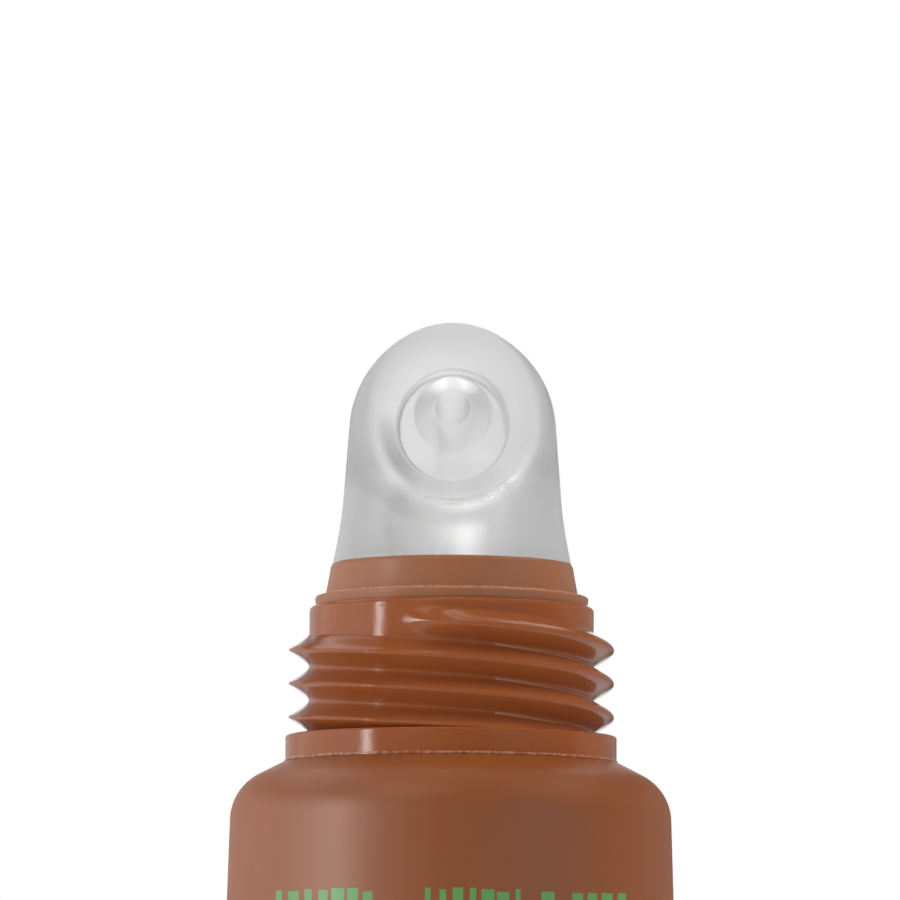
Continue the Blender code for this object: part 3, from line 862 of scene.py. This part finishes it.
# Soft boxes for one kind of surface each: degrees round the tube from the front to the right,
# degrees up, width and height in metres, and radiance
GLOSS_BOXES = {
    "left_strip": (-61.0, 7.0, 0.055, 0.30, 12.0),
    "left_box": (-100.0, 5.0, 0.70, 0.45, 0.85),
    "left_back_box": (-148.0, 5.0, 0.40, 0.45, 0.50),
    "front_left_card": (-30.0, 5.0, 0.40, 0.45, 0.20),
    "right_card": (130.0, 5.0, 0.80, 0.45, 0.24),
    "back_card": (180.0, 5.0, 0.20, 0.45, 1.2),
    "left_back_upper": (-130.0, 50.0, 0.60, 0.30, 0.80),
    "front_upper": (-30.0, 50.0, 0.30, 0.30, 1.0),
    "back_upper": (170.0, 50.0, 0.30, 0.30, 1.2),
    "top_card": (180.0, 80.0, 0.15, 0.15, 1.3),
}
MATT_BOXES = {
    "left_fill": (-70.0, 5.0, 0.40, 0.45, 4.4),
    "right_fill": (50.0, 5.0, 0.40, 0.45, 2.1),
    "left_back_fill": (-150.0, 50.0, 0.30, 0.30, 3.0),
    "left_upper_fill": (-70.0, 50.0, 0.30, 0.30, 1.7),
    "right_upper_fill": (85.0, 50.0, 0.50, 0.30, 4.5),
    "top_fill": (60.0, 80.0, 0.15, 0.15, 3.9),
}
CLEAR_BOXES = {
    "front_through": (45.0, 45.0, 0.30, 0.30, 3.8),
    "wall_through": (12.0, 14.0, 0.20, 0.24, 19.0),
    "right_through": (100.0, 5.0, 0.20, 0.45, 1.5),
    "back_through": (180.0, 5.0, 0.20, 0.45, 6.0),
    "back_key": (180.0, 6.0, 0.14, 0.12, 2.8),
    "back_upper_through": (170.0, 50.0, 0.30, 0.30, 5.0),
    "rim_strip": (28.0, 79.0, 0.15, 0.12, 36.0),
    "right_back_upper": (112.0, 58.0, 0.10, 0.10, 7.0),
    "left_back_upper_through": (-112.0, 55.0, 0.20, 0.20, 3.0),
    "wall_key": (18.0, 27.0, 0.06, 0.06, 160.0),
}


def floor():
    """Pale sheet under the tube, which keeps its shadow and fades out toward its edge."""
    skin = Finish("pale_sheet")
    tooth = skin.grain(0.8 * MM, 3.0)
    x, y = skin.axes()[:2]
    skin.surface_of(
        Base_Color=skin.blend(tooth, (0.86, 0.86, 0.86), (0.90, 0.90, 0.90)),
        Roughness=0.8,
        Normal=skin.bump(tooth, 0.02 * MM),
        Alpha=1.0 - distance_from(x, y, 0.0).step_up(*FLOOR_FADE),
    )
    bm = bmesh.new()
    bmesh.ops.create_grid(bm, x_segments=8, y_segments=8, size=FLOOR_HALF_SIZE)
    mesh = bpy.data.meshes.new("floor")
    bm.to_mesh(mesh)
    bm.free()
    mesh.materials.append(skin.material)
    sheet = bpy.data.objects.new("floor", mesh)
    sheet.location.z = -FLOOR_DROP
    bpy.context.scene.collection.objects.link(sheet)


def surroundings():
    """White where the camera sees past the tube, and a faint even light on everything."""
    world = bpy.data.worlds.new("studio")
    world.use_nodes = True
    bpy.context.scene.world = world
    shader = Shader(world.node_tree)
    seen = shader.node("LightPath", output="Is Camera Ray")
    background = world.node_tree.nodes["Background"]
    background.inputs["Color"].default_value = (1.0, 1.0, 1.0, 1.0)
    shader.put(background.inputs["Strength"], WORLD_LIGHT + (1.0 - WORLD_LIGHT) * seen)


def soft_box(name, azimuth, elevation, width, height, radiance):
    """Lamp that faces the neck's rim from a fixed distance and that the camera doesn't see."""
    data = bpy.data.lights.new(name, "AREA")
    data.shape = "RECTANGLE"
    data.size = width
    data.size_y = height
    data.energy = radiance * width * height * math.pi
    box = bpy.data.objects.new(name, data)
    turn = math.radians(azimuth)
    rise = math.radians(elevation)
    toward = Vector((math.cos(rise) * math.sin(turn), -math.cos(rise) * math.cos(turn), math.sin(rise)))
    box.location = Vector((0.0, 0.0, RIM_TOP)) + LAMP_DISTANCE * toward
    box.rotation_mode = "QUATERNION"
    box.rotation_quaternion = toward.to_track_quat("Z", "Y")
    box.visible_camera = False
    bpy.context.scene.collection.objects.link(box)
    return box


def studio():
    """Lights the matt, the glossy and the see-through surfaces with soft boxes of their own."""
    for kind, boxes in (("gloss", GLOSS_BOXES), ("matt", MATT_BOXES), ("clear", CLEAR_BOXES)):
        for name, place in boxes.items():
            box = soft_box(name, *place)
            box.visible_diffuse = kind == "matt"
            box.visible_glossy = kind == "gloss"
            box.visible_transmission = kind == "clear"


# Camera

LENS = 262.77
SENSOR_WIDTH = 36.0
EYE_SIDE = -0.11 * MM
EYE_DISTANCE = 280.0 * MM
EYE_DROP = 35.0 * MM
EYE_PITCH = math.radians(90.0 + 5.926)
EYE_LEAN = math.radians(0.3)


def camera():
    """Long lens a little below the tip, looking slightly up, with a small lean."""
    data = bpy.data.cameras.new("camera")
    data.sensor_width = SENSOR_WIDTH
    data.lens = LENS
    eye = bpy.data.objects.new("camera", data)
    eye.location = (EYE_SIDE, -EYE_DISTANCE, TIP_TOP - EYE_DROP)
    eye.rotation_mode = "QUATERNION"
    pitch = Matrix.Rotation(EYE_PITCH, 3, "X")
    lean = Matrix.Rotation(EYE_LEAN, 3, "Z")
    eye.rotation_quaternion = (pitch @ lean).to_quaternion()
    bpy.context.scene.collection.objects.link(eye)
    bpy.context.scene.camera = eye


def main():
    bpy.context.scene.view_settings.view_transform = "Standard"
    sleeve(sleeve_finish())
    neck(neck_finish())
    base(band_finish())
    applicator(tip_finish())
    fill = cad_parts["balm_fill"]
    fill.data.materials.clear()
    fill.data.materials.append(balm_finish())
    floor()
    surroundings()
    studio()
    camera()


main()
bpy.context.view_layer.update()
